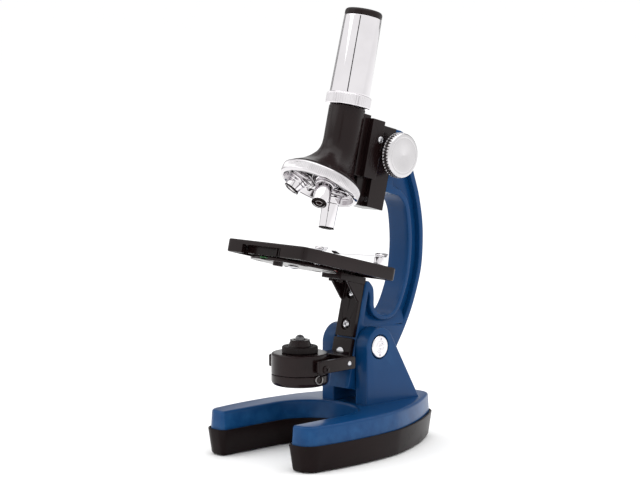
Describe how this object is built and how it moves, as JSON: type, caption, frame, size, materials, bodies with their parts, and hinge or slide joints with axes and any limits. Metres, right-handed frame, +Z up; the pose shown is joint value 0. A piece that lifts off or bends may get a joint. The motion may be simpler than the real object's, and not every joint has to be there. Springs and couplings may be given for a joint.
{
  "type": "microscope",
  "caption": "Small upright microscope with a horseshoe base, tilting arm, rotating nosepiece, focusing knobs, square stage and a flip-over lamp.",
  "frame": {"origin": "centre of the footprint at table level", "axes": "+Z up, -Y towards the open end of the horseshoe base and the stage, +X to the user's side knob; the arm leans back towards +Y"},
  "size_m": [0.08, 0.1182, 0.2224],
  "materials": {
    "blue_enamel": "deep gloss enamel on die-cast metal",
    "black_moulding": "glossy black moulded plastic, slightly warm",
    "chrome_plating": "bright plating on plastic, fine mould lines",
    "steel_fastener": "zinc-bright pan heads and pins",
    "pad_rubber": "soft black rubber",
    "fibre_washer": "brown fibre",
    "optical_glass": "coated clear lens",
    "filter_red": "clear red sheet",
    "filter_green": "clear green sheet",
    "filter_blue": "clear blue sheet",
    "led_lens": "clear epoxy dome",
    "board_laminate": "green circuit laminate",
    "mirror_face": "silvered mirror",
    "brass_gear": "cut brass"
  },
  "bodies": {
    "base": {"base_tray": "black_moulding", "base_pads": "pad_rubber", "base_casting": "blue_enamel", "base_screws": "steel_fastener", "pivot_pin": "steel_fastener", "pivot_caps": "chrome_plating", "pivot_washers": "fibre_washer"},
    "arm": {"arm_casting": "blue_enamel", "stage_bracket": "black_moulding", "bracket_screws": "steel_fastener", "stage": "black_moulding", "stage_screws": "black_moulding", "disc_screw": "steel_fastener", "focus_rail": "black_moulding", "rail_screws": "steel_fastener", "lamp_fork": "black_moulding", "fork_rivets": "steel_fastener", "fork_screw": "steel_fastener"},
    "focus_shaft": {"focus_axle": "steel_fastener", "pinion": "brass_gear", "focus_knob_left": "chrome_plating", "focus_knob_right": "chrome_plating"},
    "tube": {"focus_carriage": "black_moulding", "gib_screws": "steel_fastener", "body_tube": "black_moulding", "turret_screw": "steel_fastener"},
    "eyepiece": {"grip_ring": "chrome_plating", "eyepiece_tube": "chrome_plating", "eyepiece_cap": "black_moulding", "eye_lens": "optical_glass"},
    "zoom": {"zoom_cell": "black_moulding", "zoom_lens": "optical_glass"},
    "turret": {"turret_disc": "chrome_plating", "objective_high": "chrome_plating", "objective_medium": "chrome_plating", "objective_low": "chrome_plating", "lens_high": "optical_glass", "lens_medium": "optical_glass", "lens_low": "optical_glass"},
    "disc": {"aperture_disc": "black_moulding", "filter_red": "filter_red", "filter_green": "filter_green", "filter_blue": "filter_blue"},
    "clip_left": {"clip_post_left": "chrome_plating", "clip_spring_left": "steel_fastener"},
    "clip_right": {"clip_post_right": "chrome_plating", "clip_spring_right": "steel_fastener"},
    "lamp": {"lamp_case": "black_moulding", "battery_cover": "black_moulding", "lamp_mirror": "mirror_face", "cover_latch": "steel_fastener", "lamp_ring": "black_moulding", "lamp_cone": "black_moulding", "led": "led_lens", "led_board": "board_laminate", "coin_cells": "steel_fastener", "contact_leaf": "steel_fastener", "lamp_trunnions": "black_moulding"}
  },
  "joints": [
    {"name": "arm_tilt", "type": "hinge", "parent": "base", "child": "arm", "pos_m": [0, 0.01405, 0.05166], "axis": [-1, 0, 0], "range_deg": [-14.2, 45]},
    {"name": "focus_slide", "type": "slide", "parent": "arm", "child": "tube", "axis": [0, 0.2456, 0.9694], "range_m": [-0.011, 0.008]},
    {"name": "focus_knob", "type": "hinge", "parent": "arm", "child": "focus_shaft", "pos_m": [0, 0.0295, 0.14766], "axis": [1, 0, 0], "range_deg": [-105, 145]},
    {"name": "eyepiece_turn", "type": "hinge", "parent": "tube", "child": "eyepiece", "pos_m": [0, 0.01267, 0.19643], "axis": [0, 0.2456, 0.9694], "range_deg": [0, 120]},
    {"name": "zoom_slide", "type": "slide", "parent": "eyepiece", "child": "zoom", "axis": [0, 0.2456, 0.9694], "range_m": [0, 0.0126]},
    {"name": "turret_turn", "type": "hinge", "parent": "tube", "child": "turret", "pos_m": [0, -0.01294, 0.13525], "axis": [0, 0.5332, 0.846], "continuous": true},
    {"name": "disc_turn", "type": "hinge", "parent": "arm", "child": "disc", "pos_m": [0, -0.03162, 0.09614], "axis": [0, 0.2456, 0.9694], "continuous": true},
    {"name": "clip_left_swing", "type": "hinge", "parent": "arm", "child": "clip_left", "pos_m": [-0.021, 0.0074, 0.09667], "axis": [0, -0.2456, -0.9694], "range_deg": [-15, 60]},
    {"name": "clip_right_swing", "type": "hinge", "parent": "arm", "child": "clip_right", "pos_m": [0.021, 0.0074, 0.09667], "axis": [0, 0.2456, 0.9694], "range_deg": [-15, 60]},
    {"name": "lamp_flip", "type": "hinge", "parent": "arm", "child": "lamp", "pos_m": [0, -0.0272, 0.0453], "axis": [1, 0, 0], "continuous": true}
  ],
  "couplings": [
    {"joint": "focus_knob", "follows": "focus_slide", "rad_per_m": -222.22},
    {"joint": "zoom_slide", "follows": "eyepiece_turn", "m_per_rad": 0.006}
  ]
}
